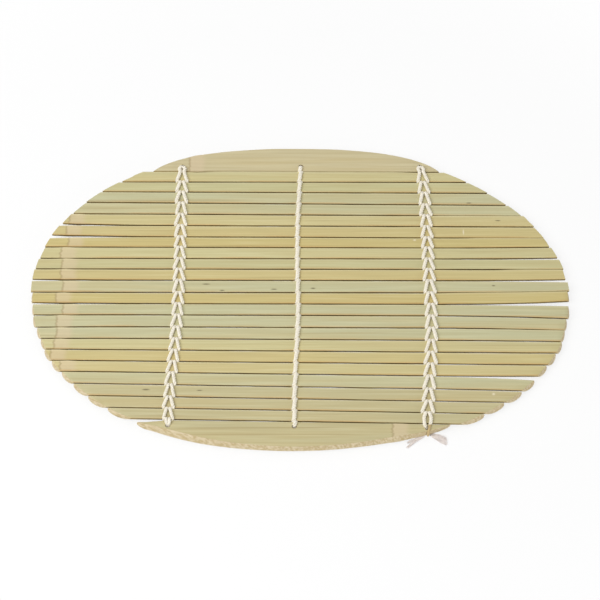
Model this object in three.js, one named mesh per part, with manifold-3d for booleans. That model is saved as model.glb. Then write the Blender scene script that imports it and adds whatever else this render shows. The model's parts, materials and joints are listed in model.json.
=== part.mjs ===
// Oval bamboo steamer mat: split-bamboo slats between two end boards, sewn together by three strings.
// Millimetres, +Z up. X runs along the slats, the front board is at -Y, and the mat lies on Z = 0.
import * as THREE from 'three';
import { mergeVertices } from 'three/addons/utils/BufferGeometryUtils.js';
import Module from 'manifold-3d';

const wasm = await Module();
wasm.setup();

// Oval that the slats are cut to: its reach, and each side's half length and powers of its curve towards the
// back and the front, where 2 is an ellipse and more is fuller
const BACK_REACH = 79.2;
const FRONT_REACH = 77.6;
const LEFT_CURVE = { halfLength: 120, backFullness: 2.09, frontFullness: 2.22 };
const RIGHT_CURVE = { halfLength: 121, backFullness: 2.0, frontFullness: 2.17 };
// The slats lie a little further to the left the nearer they are to the back
const OUTLINE_LEAN = -0.03;

// Ovals that the boards are cut to, each with its own reach from the mat's middle
const BACK_OVAL = { reach: 79.0, depth: 21, halfLength: 70, centreX: -1.4, fullness: 2.3 };
const FRONT_OVAL = { reach: 77.5, depth: 25.5, halfLength: 82.4, centreX: -3.0, fullness: 1.9 };
const OVAL_SIDES = 120;

// Bamboo: slats of one pitch each between the boards
const SLAT_COUNT = 22;
const PITCH = 5.926;
const GAP = 0.9;
const SLAT_WIDTH = PITCH - GAP;
const BAMBOO_THICKNESS = 3.0;
const LONG_EDGE_HEIGHT = 0.9;
const LONG_EDGE_BREAK = 0.2;
const UNDERSIDE_STEPS = 6;
const RIM_DRAFT = 0.6;
// A board's section starts this long, and reaches this far outside the oval that it is cut to
const BOARD_LENGTH = 180;
const BOARD_SPARE = 1;

// String: flat strands under the bamboo, round strands over it
const CLEARANCE = 0.3;
const UNDER_HEIGHT = 0.9;
const UNDER_WIDTH = 1.4;
const UNDER_LEG_WIDTH = 1.1;
const STRAND_RADIUS = 0.6;
const STRAND_SIDES = 6;
const LEG_APEX = 0.95;
const LEG_FOOT = 1.9;
const STITCH_SLANT = 0.5;
const WEB_THICKNESS = 0.3;
const WEB_WIDTH = 3.2;
const RUN_BREAK = 0.7;
const PIECES_PER_RUN = 3;

// Holes in the boards, the string that goes down them and the knots below
const BACK_HOLE_SETBACK = 3.0;
const FRONT_HOLE_SETBACK = 2.2;
const HOLE_DIAMETER = 2.2;
const HOLE_SIDES = 12;
const POST_RADIUS = 0.7;
const KNOT_RADIUS = 1.6;
const KNOT_FOOT_RADIUS = 1.2;
const KNOT_SHOULDER_RADIUS = 1.36;
const KNOT_SIDES = 10;

// Levels
const BAMBOO_BOTTOM = UNDER_HEIGHT + CLEARANCE;
const BAMBOO_TOP = BAMBOO_BOTTOM + BAMBOO_THICKNESS;
const STRAND_LEVEL = BAMBOO_TOP + CLEARANCE + STRAND_RADIUS * Math.cos(Math.PI / STRAND_SIDES);
const UNDER_LEVEL = UNDER_HEIGHT / 2;
const HOLE_TOP = BAMBOO_TOP + CLEARANCE;
const KNOT_WAIST_LEVEL = 0.36;
const KNOT_SHOULDER_LEVEL = 0.76;

// Where each string lies across the mat: its X at the back board, half way and at the front board
const STRING_ROWS = [
  { name: 'left', back: -54.3, middle: -54.0, front: -56.3, chainOnTop: true },
  { name: 'centre', back: 0.8, middle: -0.6, front: -2.0, chainOnTop: false },
  { name: 'right', back: 56.2, middle: 58.7, front: 55.0, chainOnTop: true },
];

// How far a slat's long edges wander towards the back (+) or the front (-) at its two ends, where they do
const EDGE_WANDER = {
  5: { frontLeft: 0.7 },
  6: { frontLeft: 0.6 },
  7: { backLeft: -0.7, frontRight: 0.6 },
  8: { backRight: 0.6, frontRight: 0.5 },
  10: { frontLeft: 0.3, backRight: 0.3, frontRight: 0.6 },
  11: { backLeft: -0.2, backRight: -0.4, frontRight: 0.9 },
  12: { frontLeft: 0.3, backRight: 1.4, frontRight: 1.5 },
  13: { backLeft: -0.3, backRight: -0.5, frontRight: -1.0 },
  14: { backRight: -1.0, frontRight: -0.7 },
  15: { backRight: -0.3 },
  19: { backRight: -1.4, frontRight: -1.0 },
  20: { backRight: -1.0, frontRight: -0.7 },
  21: { backRight: -0.7, frontRight: -0.3 },
  22: { backRight: -0.3 },
};
const WANDER_START = 60;
const WANDER_STEPS = 3;

// The slat ends are cut unevenly: up to this much short of the oval, except on the two longest slats
const END_UNEVENNESS = 0.8;
// Angles in radians that make the cut differ from slat to slat and from the left end to the right
const END_CUT_PER_SLAT = 2.3;
const END_CUT_PER_SIDE = 1.1;
const LONGEST_SLATS = [SLAT_COUNT / 2, SLAT_COUNT / 2 + 1];

// The two frayed ends of the right string, from tip to tip past its knot, lying on the ground
const TAIL_RADIUS = 0.42;
const TAIL_SIDES = 8;
const TAIL_STEPS = 14;
const TAIL_ROUTE = [
  [44.8, -75.4],
  [49.6, -73.2],
  [55.0, -69.9],
  [59.4, -71.4],
  [63.8, -73.0],
];

// Looks
const BAMBOO_TONES = [0xc8be8a, 0xc3bf8e, 0xd2c48c, 0xcabf82, 0xbdb98c];
const BAMBOO_ROUGHNESS = 0.6;
const STRING_COLOUR = 0xe8e0ce;
const STRING_ROUGHNESS = 0.9;

// Points nearer to each other than this are one point
const MERGE_TOLERANCE = 1e-4;

// Closed geometry to solid and back
function solid(geometry) {
  const bare = geometry.clone();
  bare.deleteAttribute('normal');
  bare.deleteAttribute('uv');
  const merged = mergeVertices(bare, MERGE_TOLERANCE);
  return new wasm.Manifold(new wasm.Mesh({
    numProp: 3,
    vertProperties: new Float32Array(merged.attributes.position.array),
    triVerts: new Uint32Array(merged.index.array),
  }));
}

function geometryOf(manifold) {
  const mesh = manifold.getMesh();
  const geometry = new THREE.BufferGeometry();
  geometry.setAttribute('position', new THREE.BufferAttribute(new Float32Array(mesh.vertProperties), 3));
  geometry.setIndex(new THREE.BufferAttribute(new Uint32Array(mesh.triVerts), 1));
  geometry.computeVertexNormals();
  return geometry;
}

function joined(geometries) {
  return geometryOf(geometries.map(solid).reduce((whole, piece) => whole.add(piece)));
}

// Gap 0 lies between the back board and slat 1, the last gap between the last slat and the front board
function gapY(gap) {
  return (SLAT_COUNT / 2 - gap) * PITCH;
}

function rowX(row, y) {
  const t = y / gapY(0);
  const tilt = (row.back - row.front) / 2;
  const bow = (row.back + row.front) / 2 - row.middle;
  return row.middle + tilt * t + bow * t * t;
}

// X of the oval's left (-1) or right (+1) side at some Y
function ovalX(y, side) {
  const { halfLength, backFullness, frontFullness } = side < 0 ? LEFT_CURVE : RIGHT_CURVE;
  const reach = y > 0 ? BACK_REACH : FRONT_REACH;
  const fullness = y > 0 ? backFullness : frontFullness;
  const across = Math.max(1 - Math.abs(y / reach) ** fullness, 0);
  return OUTLINE_LEAN * y + side * halfLength * across ** (1 / fullness);
}

// Points of a slat's section as [share of the width from front to back, level], anticlockwise seen along -X
function slatSection() {
  const rise = BAMBOO_THICKNESS - LONG_EDGE_HEIGHT;
  const chamfer = LONG_EDGE_BREAK / SLAT_WIDTH;
  const points = [];
  for (let step = 0; step <= UNDERSIDE_STEPS; step += 1) {
    const angle = Math.PI * step / UNDERSIDE_STEPS;
    points.push([(1 - Math.cos(angle)) / 2, BAMBOO_BOTTOM + rise * (1 - Math.sin(angle))]);
  }
  points.push([1, BAMBOO_TOP - LONG_EDGE_BREAK]);
  points.push([1 - chamfer, BAMBOO_TOP]);
  points.push([chamfer, BAMBOO_TOP]);
  points.push([0, BAMBOO_TOP - LONG_EDGE_BREAK]);
  return points;
}

// Shortfall of a slat's end from the oval: an uneven but repeatable cut
function endShortfall(slat, side) {
  if (LONGEST_SLATS.includes(slat)) {
    return 0;
  }
  return END_UNEVENNESS * Math.sin(END_CUT_PER_SLAT * slat + END_CUT_PER_SIDE * side) ** 2;
}

// One slat: its section carried along X, its ends cut to the oval, its edges wandering past the strings
function slatGeometry(slat) {
  const section = slatSection();
  const wander = EDGE_WANDER[slat] ?? {};
  const centreY = (gapY(slat - 1) + gapY(slat)) / 2;
  const positions = [];
  let ringCount = 0;
  for (const [side, name] of [[-1, 'Left'], [1, 'Right']]) {
    const frontWander = wander[`front${name}`] ?? 0;
    const backWander = wander[`back${name}`] ?? 0;
    const steps = frontWander || backWander ? WANDER_STEPS : 0;
    const shares = Array.from({ length: steps + 1 }, (_, step) => (steps ? step / steps : 1));
    if (side < 0) {
      shares.reverse();
    }
    for (const share of shares) {
      const front = centreY - SLAT_WIDTH / 2 + frontWander * share ** 2;
      const back = centreY + SLAT_WIDTH / 2 + backWander * share ** 2;
      for (const [across, level] of section) {
        const y = front + (back - front) * across;
        const startX = side * WANDER_START;
        const endX = ovalX(y, side) - side * endShortfall(slat, side);
        positions.push(startX + (endX - startX) * share, y, level);
      }
      ringCount += 1;
    }
  }
  return ringLoft(positions, section.length, ringCount);
}

// Closed skin over a row of equal rings of points, with a fan over each end
function ringLoft(positions, ringSize, ringCount) {
  const index = [];
  for (let ring = 0; ring + 1 < ringCount; ring += 1) {
    for (let i = 0; i < ringSize; i += 1) {
      const next = (i + 1) % ringSize;
      const a = ring * ringSize + i;
      const b = ring * ringSize + next;
      index.push(a, b, a + ringSize, b, b + ringSize, a + ringSize);
    }
  }
  const last = (ringCount - 1) * ringSize;
  for (let i = 1; i + 1 < ringSize; i += 1) {
    index.push(0, i + 1, i);
    index.push(last, last + i, last + i + 1);
  }
  const geometry = new THREE.BufferGeometry();
  geometry.setAttribute('position', new THREE.Float32BufferAttribute(positions, 3));
  geometry.setIndex(index);
  geometry.computeVertexNormals();
  return geometry;
}

// An end board: its section carried along X, cut to the oval with a sloping rim, with its string holes
function boardGeometry(side) {
  const oval = side > 0 ? BACK_OVAL : FRONT_OVAL;
  const inner = gapY(0) + GAP / 2;
  const outer = oval.reach + BOARD_SPARE;
  const rise = BAMBOO_THICKNESS - LONG_EDGE_HEIGHT;
  const section = new THREE.Shape();
  section.moveTo(outer, BAMBOO_BOTTOM);
  section.lineTo(outer, BAMBOO_TOP);
  section.lineTo(inner + LONG_EDGE_BREAK, BAMBOO_TOP);
  section.lineTo(inner, BAMBOO_TOP - LONG_EDGE_BREAK);
  section.absellipse(inner + SLAT_WIDTH / 2, BAMBOO_BOTTOM + rise, SLAT_WIDTH / 2, rise,
    Math.PI, 1.5 * Math.PI, false, 0);
  const along = new THREE.ExtrudeGeometry(section, {
    depth: BOARD_LENGTH, bevelEnabled: false, curveSegments: UNDERSIDE_STEPS / 2,
  });
  along.translate(0, 0, -BOARD_LENGTH / 2);
  along.applyMatrix4(new THREE.Matrix4().makeBasis(
    new THREE.Vector3(0, 1, 0), new THREE.Vector3(0, 0, 1), new THREE.Vector3(1, 0, 0)));
  if (side < 0) {
    along.rotateZ(Math.PI);
  }
  let board = solid(along).intersect(solid(boardOval(oval, side)));
  for (const row of STRING_ROWS) {
    const hole = upright(HOLE_DIAMETER / 2, HOLE_SIDES, 0, HOLE_TOP);
    const { x, y } = holeAt(row, side);
    board = board.subtract(solid(hole.translate(x, y, 0)));
  }
  return geometryOf(board);
}

// A solid oval with a sloping rim, to cut a board by
function boardOval({ reach, depth, halfLength, centreX, fullness }, side) {
  const oval = new THREE.CylinderGeometry(1, 1, BAMBOO_THICKNESS, OVAL_SIDES);
  oval.rotateX(Math.PI / 2);
  const places = oval.attributes.position;
  for (let i = 0; i < places.count; i += 1) {
    const x = places.getX(i);
    const y = places.getY(i);
    const inward = places.getZ(i) > 0 ? RIM_DRAFT : 0;
    const full = (Math.abs(x) ** fullness + Math.abs(y) ** fullness) ** (1 / fullness);
    if (full > 0) {
      places.setXY(i, x / full * (halfLength - inward), y / full * (depth - inward));
    }
  }
  return oval.translate(centreX, side * (reach - depth), (BAMBOO_BOTTOM + BAMBOO_TOP) / 2);
}

function holeAt(row, side) {
  const edge = side * gapY(0);
  const setback = side > 0 ? BACK_HOLE_SETBACK : FRONT_HOLE_SETBACK;
  return { x: rowX(row, edge), y: edge + side * setback };
}

// A standing prism with a round section
function upright(radius, sides, low, high) {
  const prism = new THREE.CylinderGeometry(radius, radius, high - low, sides);
  prism.rotateX(Math.PI / 2);
  return prism.translate(0, 0, (low + high) / 2);
}

// A straight round strand from one point to another
function strand(from, to) {
  const start = new THREE.Vector3(...from);
  const end = new THREE.Vector3(...to);
  const rod = new THREE.CylinderGeometry(STRAND_RADIUS, STRAND_RADIUS, start.distanceTo(end), STRAND_SIDES);
  rod.rotateY(Math.PI / STRAND_SIDES);
  rod.applyQuaternion(new THREE.Quaternion().setFromUnitVectors(
    new THREE.Vector3(0, 1, 0), end.clone().sub(start).normalize()));
  const middle = start.add(end).divideScalar(2);
  return rod.translate(middle.x, middle.y, middle.z);
}

// A straight flat strand on the ground, under the bamboo
function flatStrand(fromX, fromY, toX, toY, width) {
  const length = Math.hypot(toX - fromX, toY - fromY);
  const bar = new THREE.BoxGeometry(width, length, UNDER_HEIGHT);
  bar.rotateZ(-Math.atan2(toX - fromX, toY - fromY));
  return bar.translate((fromX + toX) / 2, (fromY + toY) / 2, UNDER_LEVEL);
}

// The stitch over or under one piece of bamboo, from its back end to its front end
function stitch(row, backY, frontY, apex, foot, onTop) {
  const backX = rowX(row, backY);
  const frontX = rowX(row, frontY);
  const legs = [];
  if (onTop === row.chainOnTop) {
    for (const side of [-1, 1]) {
      const fromX = backX + side * apex;
      const toX = frontX + side * foot;
      legs.push(onTop
        ? strand([fromX, backY, STRAND_LEVEL], [toX, frontY, STRAND_LEVEL])
        : flatStrand(fromX, backY, toX, frontY, UNDER_LEG_WIDTH));
    }
    return legs;
  }
  legs.push(onTop
    ? strand([backX + STITCH_SLANT, backY, STRAND_LEVEL], [frontX - STITCH_SLANT, frontY, STRAND_LEVEL])
    : flatStrand(backX, backY, frontX, frontY, UNDER_WIDTH));
  return legs;
}

// The string where it passes down through a gap between two pieces
function web(row, gap) {
  const low = UNDER_LEVEL;
  const high = STRAND_LEVEL + STRAND_RADIUS / 2;
  const box = new THREE.BoxGeometry(WEB_WIDTH, WEB_THICKNESS, high - low);
  return box.translate(rowX(row, gapY(gap)), gapY(gap), (low + high) / 2);
}

// One run of a string: its stitches over three pieces of bamboo, where piece 0 is the back board
function runGeometry(row, run) {
  const lastPiece = SLAT_COUNT + 1;
  const first = run * PIECES_PER_RUN;
  const pieces = Array.from({ length: PIECES_PER_RUN }, (_, i) => first + i);
  const parts = [];
  pieces.forEach((piece, place) => {
    const isBoard = piece === 0 || piece === lastPiece;
    const backY = piece === 0
      ? holeAt(row, 1).y
      : gapY(piece - 1) - (place === 0 ? RUN_BREAK / 2 : 0);
    const frontY = piece === lastPiece
      ? holeAt(row, -1).y
      : gapY(piece) + (place === PIECES_PER_RUN - 1 ? RUN_BREAK / 2 : 0);
    const apex = piece === 0 ? STRAND_RADIUS : LEG_APEX;
    const foot = piece === lastPiece ? STRAND_RADIUS : LEG_FOOT;
    parts.push(...stitch(row, backY, frontY, apex, foot, true));
    if (isBoard) {
      const hole = holeAt(row, piece === 0 ? 1 : -1);
      const post = upright(POST_RADIUS, STRAND_SIDES, BAMBOO_BOTTOM, STRAND_LEVEL);
      parts.push(post.translate(hole.x, hole.y, 0));
    } else {
      parts.push(...stitch(row, backY, frontY, apex, foot, false));
    }
    if (place < PIECES_PER_RUN - 1) {
      parts.push(web(row, piece));
    }
  });
  return joined(parts);
}

// A knot under a board, flattened where the mat lies on it
function knotGeometry(row, side) {
  const profile = [
    new THREE.Vector2(0, 0),
    new THREE.Vector2(KNOT_FOOT_RADIUS, 0),
    new THREE.Vector2(KNOT_RADIUS, KNOT_WAIST_LEVEL),
    new THREE.Vector2(KNOT_SHOULDER_RADIUS, KNOT_SHOULDER_LEVEL),
    new THREE.Vector2(0, UNDER_HEIGHT),
  ];
  const knot = new THREE.LatheGeometry(profile, KNOT_SIDES);
  knot.rotateX(Math.PI / 2);
  const { x, y } = holeAt(row, side);
  return knot.translate(x, y, 0);
}

// The right string's loose ends
function tailGeometry() {
  const route = new THREE.CatmullRomCurve3(
    TAIL_ROUTE.map(([x, y]) => new THREE.Vector3(x, y, TAIL_RADIUS)));
  const circle = new THREE.Shape().absarc(0, 0, TAIL_RADIUS, 0, 2 * Math.PI);
  return new THREE.ExtrudeGeometry(circle, {
    extrudePath: route, steps: TAIL_STEPS, curveSegments: TAIL_SIDES / 2, bevelEnabled: false,
  });
}

const mat = new THREE.Group();

function add(name, geometry, colour, roughness) {
  const material = new THREE.MeshStandardMaterial({ color: colour, roughness, metalness: 0 });
  const mesh = new THREE.Mesh(geometry, material);
  mesh.name = name;
  mat.add(mesh);
}

function addBamboo(name, geometry, tone) {
  add(name, geometry, BAMBOO_TONES[tone % BAMBOO_TONES.length], BAMBOO_ROUGHNESS);
}

function addString(name, geometry) {
  add(name, geometry, STRING_COLOUR, STRING_ROUGHNESS);
}

addBamboo('back_board', boardGeometry(1), 0);
for (let slat = 1; slat <= SLAT_COUNT; slat += 1) {
  addBamboo(`slat_${String(slat).padStart(2, '0')}`, slatGeometry(slat), slat);
}
addBamboo('front_board', boardGeometry(-1), 1);

const runCount = (SLAT_COUNT + 2) / PIECES_PER_RUN;
for (const row of STRING_ROWS) {
  for (let run = 0; run < runCount; run += 1) {
    addString(`${row.name}_string_${run + 1}`, runGeometry(row, run));
  }
  addString(`${row.name}_back_knot`, knotGeometry(row, 1));
  addString(`${row.name}_front_knot`, knotGeometry(row, -1));
}
addString('right_string_tails', tailGeometry());

export default mat;
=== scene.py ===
# Looks of the oval bamboo steamer mat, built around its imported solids
import json
import math

import bmesh
import bpy
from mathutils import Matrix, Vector
from mathutils import noise


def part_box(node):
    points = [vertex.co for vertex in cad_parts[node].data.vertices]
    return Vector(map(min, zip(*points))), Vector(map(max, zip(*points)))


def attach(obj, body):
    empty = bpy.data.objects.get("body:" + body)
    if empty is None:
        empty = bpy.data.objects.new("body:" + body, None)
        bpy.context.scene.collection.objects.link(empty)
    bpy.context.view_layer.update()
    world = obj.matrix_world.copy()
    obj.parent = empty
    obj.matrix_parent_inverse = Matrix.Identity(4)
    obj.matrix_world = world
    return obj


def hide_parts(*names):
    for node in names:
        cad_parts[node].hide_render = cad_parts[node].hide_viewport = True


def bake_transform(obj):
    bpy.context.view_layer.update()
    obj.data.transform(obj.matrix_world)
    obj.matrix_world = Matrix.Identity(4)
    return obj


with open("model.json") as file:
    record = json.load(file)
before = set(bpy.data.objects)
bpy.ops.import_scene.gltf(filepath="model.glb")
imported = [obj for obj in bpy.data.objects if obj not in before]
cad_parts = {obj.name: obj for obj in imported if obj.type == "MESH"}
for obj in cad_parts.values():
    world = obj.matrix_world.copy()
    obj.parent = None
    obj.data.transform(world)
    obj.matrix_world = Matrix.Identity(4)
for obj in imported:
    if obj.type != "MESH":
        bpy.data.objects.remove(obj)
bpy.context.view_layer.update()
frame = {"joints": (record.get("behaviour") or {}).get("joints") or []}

MM = 0.001

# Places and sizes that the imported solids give
JOINTS = sorted(frame["joints"], key=lambda joint: joint["name"])
GAP_Y = [joint["pos_m"][1] for joint in JOINTS]
SLAT_COUNT = len(GAP_Y) - 1
PIECES = ["back_board"] + ["slat_%02d" % n for n in range(1, SLAT_COUNT + 1)] + ["front_board"]
PITCH = GAP_Y[0] - GAP_Y[1]
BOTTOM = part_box("slat_11")[0].z
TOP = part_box("slat_11")[1].z

# The photograph's view: straight from the front, well above the table
CAMERA_ELEVATION = math.radians(59.2)
CAMERA_DISTANCE = 0.824
CAMERA_AIM = Vector((0.45, -4.1, 4.2)) * MM
CAMERA_LENS = 110.8
CAMERA_SENSOR = 36

# Bamboo, in metres
GAP = 0.52 * MM
UNDERSIDE_RADIUS = 2.6 * MM
UNDERSIDE_STEPS = 6
TOP_EDGE_RADIUS = 0.26 * MM
TOP_EDGE_STEPS = 3
END_EDGE_RADIUS = 0.07 * MM
EDGE_TOLERANCE = 0.1 * MM
MERGE_DISTANCE = 0.09 * MM
CUT_THRESHOLD = 0.0001 * MM
SMOOTH_ANGLE = math.radians(40)
SLAT_CUTS = 60
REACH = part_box("slat_11")[1].x + 5 * MM
UNEVENNESS = 0.2 * MM
UNEVEN_SPACING = 14 * MM
NODE_SWELL = 0.22 * MM
NODE_SWELL_REACH = 3 * MM
NODE_SWELL_PLACE = 2.5 * MM
NODE_SWELL_ON_TOP = 0.25
# A piece without a node counts as this far from one, in metres
NO_NODE = 1.0

# The slats' oval as in the solids: its reach, each side's half length and powers to the back and the front,
# and its lean
BACK_REACH = 79.2 * MM
FRONT_REACH = 77.6 * MM
LEFT_CURVE = (120 * MM, 2.09, 2.22)
RIGHT_CURVE = (121 * MM, 2.0, 2.17)
OUTLINE_LEAN = -0.03
END_CHORDS = 4
# The front half's ends are cut with the underside longer than the top, by this share of the height
END_SLOPE = 0.3

# The boards' ovals as in the solids: reach from the mat's middle, depth, half length, centre and power
BACK_OVAL = (79.0 * MM, 21 * MM, 70 * MM, -1.4 * MM, 2.3)
FRONT_OVAL = (77.5 * MM, 25.5 * MM, 82.4 * MM, -3.0 * MM, 1.9)

# How far a slat's long edges wander to the back (+) or the front (-) at its ends, in millimetres
EDGE_WANDER = {
    5: {"front_left": 0.7},
    6: {"front_left": 0.6},
    7: {"back_left": -0.7, "front_right": 0.6},
    8: {"back_right": 0.6, "front_right": 0.5},
    10: {"front_left": 0.3, "front_right": 0.6},
    11: {"back_left": -0.2, "back_right": -0.4, "front_right": 0.9},
    12: {"front_left": 0.3, "back_right": 0.9, "front_right": 1.5},
    13: {"back_left": -0.3, "front_left": -0.4, "back_right": -0.5, "front_right": -1.2},
    14: {"back_left": -0.4, "front_left": -0.5, "back_right": -1.2, "front_right": -0.9},
    15: {"back_left": -0.5, "front_left": -0.3, "back_right": -0.5, "front_right": -0.3},
    16: {"back_left": -0.3, "back_right": -0.3},
    18: {"front_right": 0.5},
    19: {"back_right": -1.2, "front_right": -0.4},
    20: {"back_right": -0.4},
}
WANDER_START = 60 * MM

# How the slats lie: their skew, as (Y in millimetres, slope), and gaps out of their even places, as
# (gap, millimetres to the back); outside the last gaps this fades away across the boards
SLAT_SKEW = [
    (-80, 0.017), (-58, 0.019), (-46, 0.018), (-38, 0.012), (-20, 0.006), (0, 0.002), (20, 0.002),
    (30, 0.005), (36, 0.005), (48, 0.009), (58, 0.002), (80, 0.001),
]
GAP_SHIFT = [
    (0, 0.1), (1, 0.35), (2, 0.5), (3, 0.1), (5, -0.2), (6, -0.4), (7, 0), (8, -0.06), (9, 0.27), (10, 0.3),
    (11, -0.2), (13, -0.1), (14, -0.4), (15, -0.57), (16, -0.5), (18, -0.2), (19, -0.5), (20, -0.5),
    (21, -0.2), (22, 0.4),
]
BOARD_FADE = 9 * MM

# The first slat lies against the back board, apart from two stretches. To close a gap, the back part of the
# slat in front of it is pushed to the back; that part starts this far from the slat's front edge
CLOSED_GAP = 0.38 * MM
BACK_PART_START = 3 * MM
OPEN_LEFT = -47 * MM
OPEN_RIGHT = 45 * MM
OPEN_REACH = 5 * MM

# Gaps that close towards the right end, as gap: X where that starts, and the way it takes
CLOSED_TO_RIGHT = {4: 57 * MM, 6: 72 * MM, 9: 88 * MM, 11: 60 * MM}
CLOSING_REACH = 10 * MM

# The front board's left tip stands off the last slat by this much
TIP_STAND_OFF = 1.0 * MM
TIP_START = -50 * MM
TIP_END = -66 * MM
TIP_DEPTH = 4 * MM

# The uneven cut of the slat ends: up to this much short of the oval, except on the two longest slats and on
# the last one
END_UNEVENNESS = 0.8 * MM
END_CUT_PER_SLAT = 2.3
END_CUT_PER_SIDE = 1.1
FULL_LENGTH_SLATS = (SLAT_COUNT // 2, SLAT_COUNT // 2 + 1, SLAT_COUNT)

# Where the bamboo's node crosses each piece that has one: X of its sharp side, in millimetres
NODE_LINE = {
    0: -51.0, 5: -105.1, 6: -106.2, 7: -104.9, 8: -107.8, 9: -107.0, 10: -107.1, 11: -105.9, 12: -108.5,
    13: -105.2, 14: -107.4, 15: -107.2, 16: -107.9, 17: -109.1, 18: -104.4, 23: 40.0,
}

# Tones of the bamboo, as screen colours, and the tone of each piece from back to front
TONES = {
    "pale": (205, 193, 154),
    "green": (201, 195, 147),
    "grey_green": (199, 196, 156),
    "leaf_straw": (208, 200, 150),
    "straw": (209, 197, 144),
    "yellow": (208, 193, 136),
    "gold": (206, 190, 128),
    "olive": (197, 188, 145),
}
PIECE_TONES = [
    "pale", "leaf_straw", "green", "grey_green", "grey_green", "straw", "yellow", "gold",
    "leaf_straw", "green", "yellow", "grey_green", "gold", "grey_green", "grey_green", "grey_green",
    "leaf_straw", "yellow", "straw", "grey_green", "olive", "olive", "olive", "olive",
]

# Boards' rims: how far their cut slopes outwards, as (X, slope) in millimetres
FRONT_RIM_SLOPE = [
    (-80, 0.4), (-62, 1.6), (-50, 2.0), (-25, 1.2), (0, 0.7), (30, 0.9), (46, 1.4), (55, 0.6), (60, 0.3),
    (80, 0.2),
]
BACK_RIM_SLOPE = [(-80, 0.6), (80, 0.6)]
RIM_SIDES = 288
BOARD_CUTS_ALONG = 70
BOARD_SPARE = 2 * MM
CUTTER_SPARE = 0.2 * MM
HOLE_RADIUS = 1.1 * MM
HOLE_SIDES = 24
HOLE_DEPTH = 10 * MM


def knot_place(row, end):
    """The middle of a row's knot in the solids, which lies under the hole"""
    low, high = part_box("%s_%s_knot" % (row, end))
    return (low + high) / 2


# String, in millimetres
ROPE_RADIUS = 0.84
PLY_RADIUS = 0.41
PLIES = 3
LAY = 3.4
ROPE_STEP = 0.34
ON_TOP = TOP / MM + 0.74
UNDER = BOTTOM / MM - 0.6
HALF_PITCH = PITCH / MM / 2
STITCH_SWAY = 0.14
STITCH_SPREAD = 0.1
STITCH_WAVE = 130.0
ROWS = ("left", "centre", "right")
CHAIN_ON_TOP = {"left": True, "centre": False, "right": True}
# Where each row lies from the front to the back, as (Y, X) in millimetres
ROW_LINES = {
    "left": [(-70, -56.3), (-58, -56.3), (-46, -55.9), (-38, -55.3), (-28, -54.7), (-15, -54.1), (0, -53.9),
             (25, -54.0), (50, -54.2), (70, -54.4)],
    "centre": [(-70, -2.0), (-50, -1.8), (-36, -1.4), (-25, -0.8), (-12, -0.3), (0, -0.4), (15, -0.7),
               (36, -0.6), (50, 0.0), (70, 0.9)],
    "right": [(-70, 54.8), (-60, 55.4), (-50, 56.2), (-34, 57.6), (-20, 58.5), (-8, 58.8), (10, 58.4),
              (40, 58.2), (56, 57.6), (63, 57.2), (70, 56.0)],
}
# Breadth of each row's stitches at the back board and at the front board
ROW_BREADTH = {"left": (1.08, 0.94), "centre": (1.2, 1.2), "right": (1.06, 1.06)}
# The holes' Y from the first and the last gap, the Z where strings that go down end, the Z where the centre
# string comes out of a hole, and how far it is off the hole's middle
HOLE_BACK = (knot_place("left", "back").y - GAP_Y[0]) / MM
HOLE_FRONT = (knot_place("left", "front").y + GAP_Y[0]) / MM
OUT_OF_SIGHT = 1.6
HOLE_MOUTH = 3.9
CENTRE_OFF_HOLE = 0.35
# Each of the solids' runs of string goes along this many pieces of bamboo
PIECES_PER_RUN = 3
# No stitch or knot lies lower than this
LOWEST_STRING = 0.02 * MM

# One stitch at a gap, right half, in millimetres: X from the row, Y from the gap (+ is the back), Z
LOOP_FOOT = [
    (1.42, HALF_PITCH, ON_TOP), (1.78, 1.55, ON_TOP + 0.03), (2.02, 0.62, ON_TOP - 0.02),
    (2.08, 0.10, 4.2), (1.75, 0.0, 3.5), (0.85, 0.0, 2.95), (0.0, 0.0, 2.85),
]
LOOP_HEAD = [
    (0.62, -0.15, 4.4), (0.8, -0.7, ON_TOP + 0.03), (1.12, -1.9, ON_TOP + 0.02), (1.42, -HALF_PITCH, ON_TOP),
]
# The first loop's sides come up out of the back hole and go on over the first slat
LEG_FROM_HOLE = [
    (0.28, HOLE_BACK - 0.35, OUT_OF_SIGHT), (0.32, HOLE_BACK - 0.4, 3.6), (0.55, HOLE_BACK - 0.75, ON_TOP),
    (1.14, HOLE_BACK - 1.75, ON_TOP + 0.08), (0.98, 0.35, ON_TOP + 0.06), (0.84, -0.3, ON_TOP + 0.06),
    (1.08, -1.6, ON_TOP + 0.03), (1.42, -HALF_PITCH, ON_TOP),
]
RUN_FROM_KNOT = [
    (0.0, HOLE_BACK - 1.2, 0.7), (0.0, 0.9, UNDER), (0.0, -1.0, UNDER), (0.0, -HALF_PITCH, UNDER),
]
# At the left the last loop's head makes a ball over the front hole
LOOP_HEAD_TO_HOLE = [
    (0.66, 0.1, 4.6), (0.8, -0.45, ON_TOP + 0.3), (0.76, -1.15, ON_TOP + 0.45),
    (0.55, HOLE_FRONT + 0.45, ON_TOP + 0.2), (0.32, HOLE_FRONT + 0.3, 3.8), (0.28, HOLE_FRONT, OUT_OF_SIGHT),
]
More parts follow.
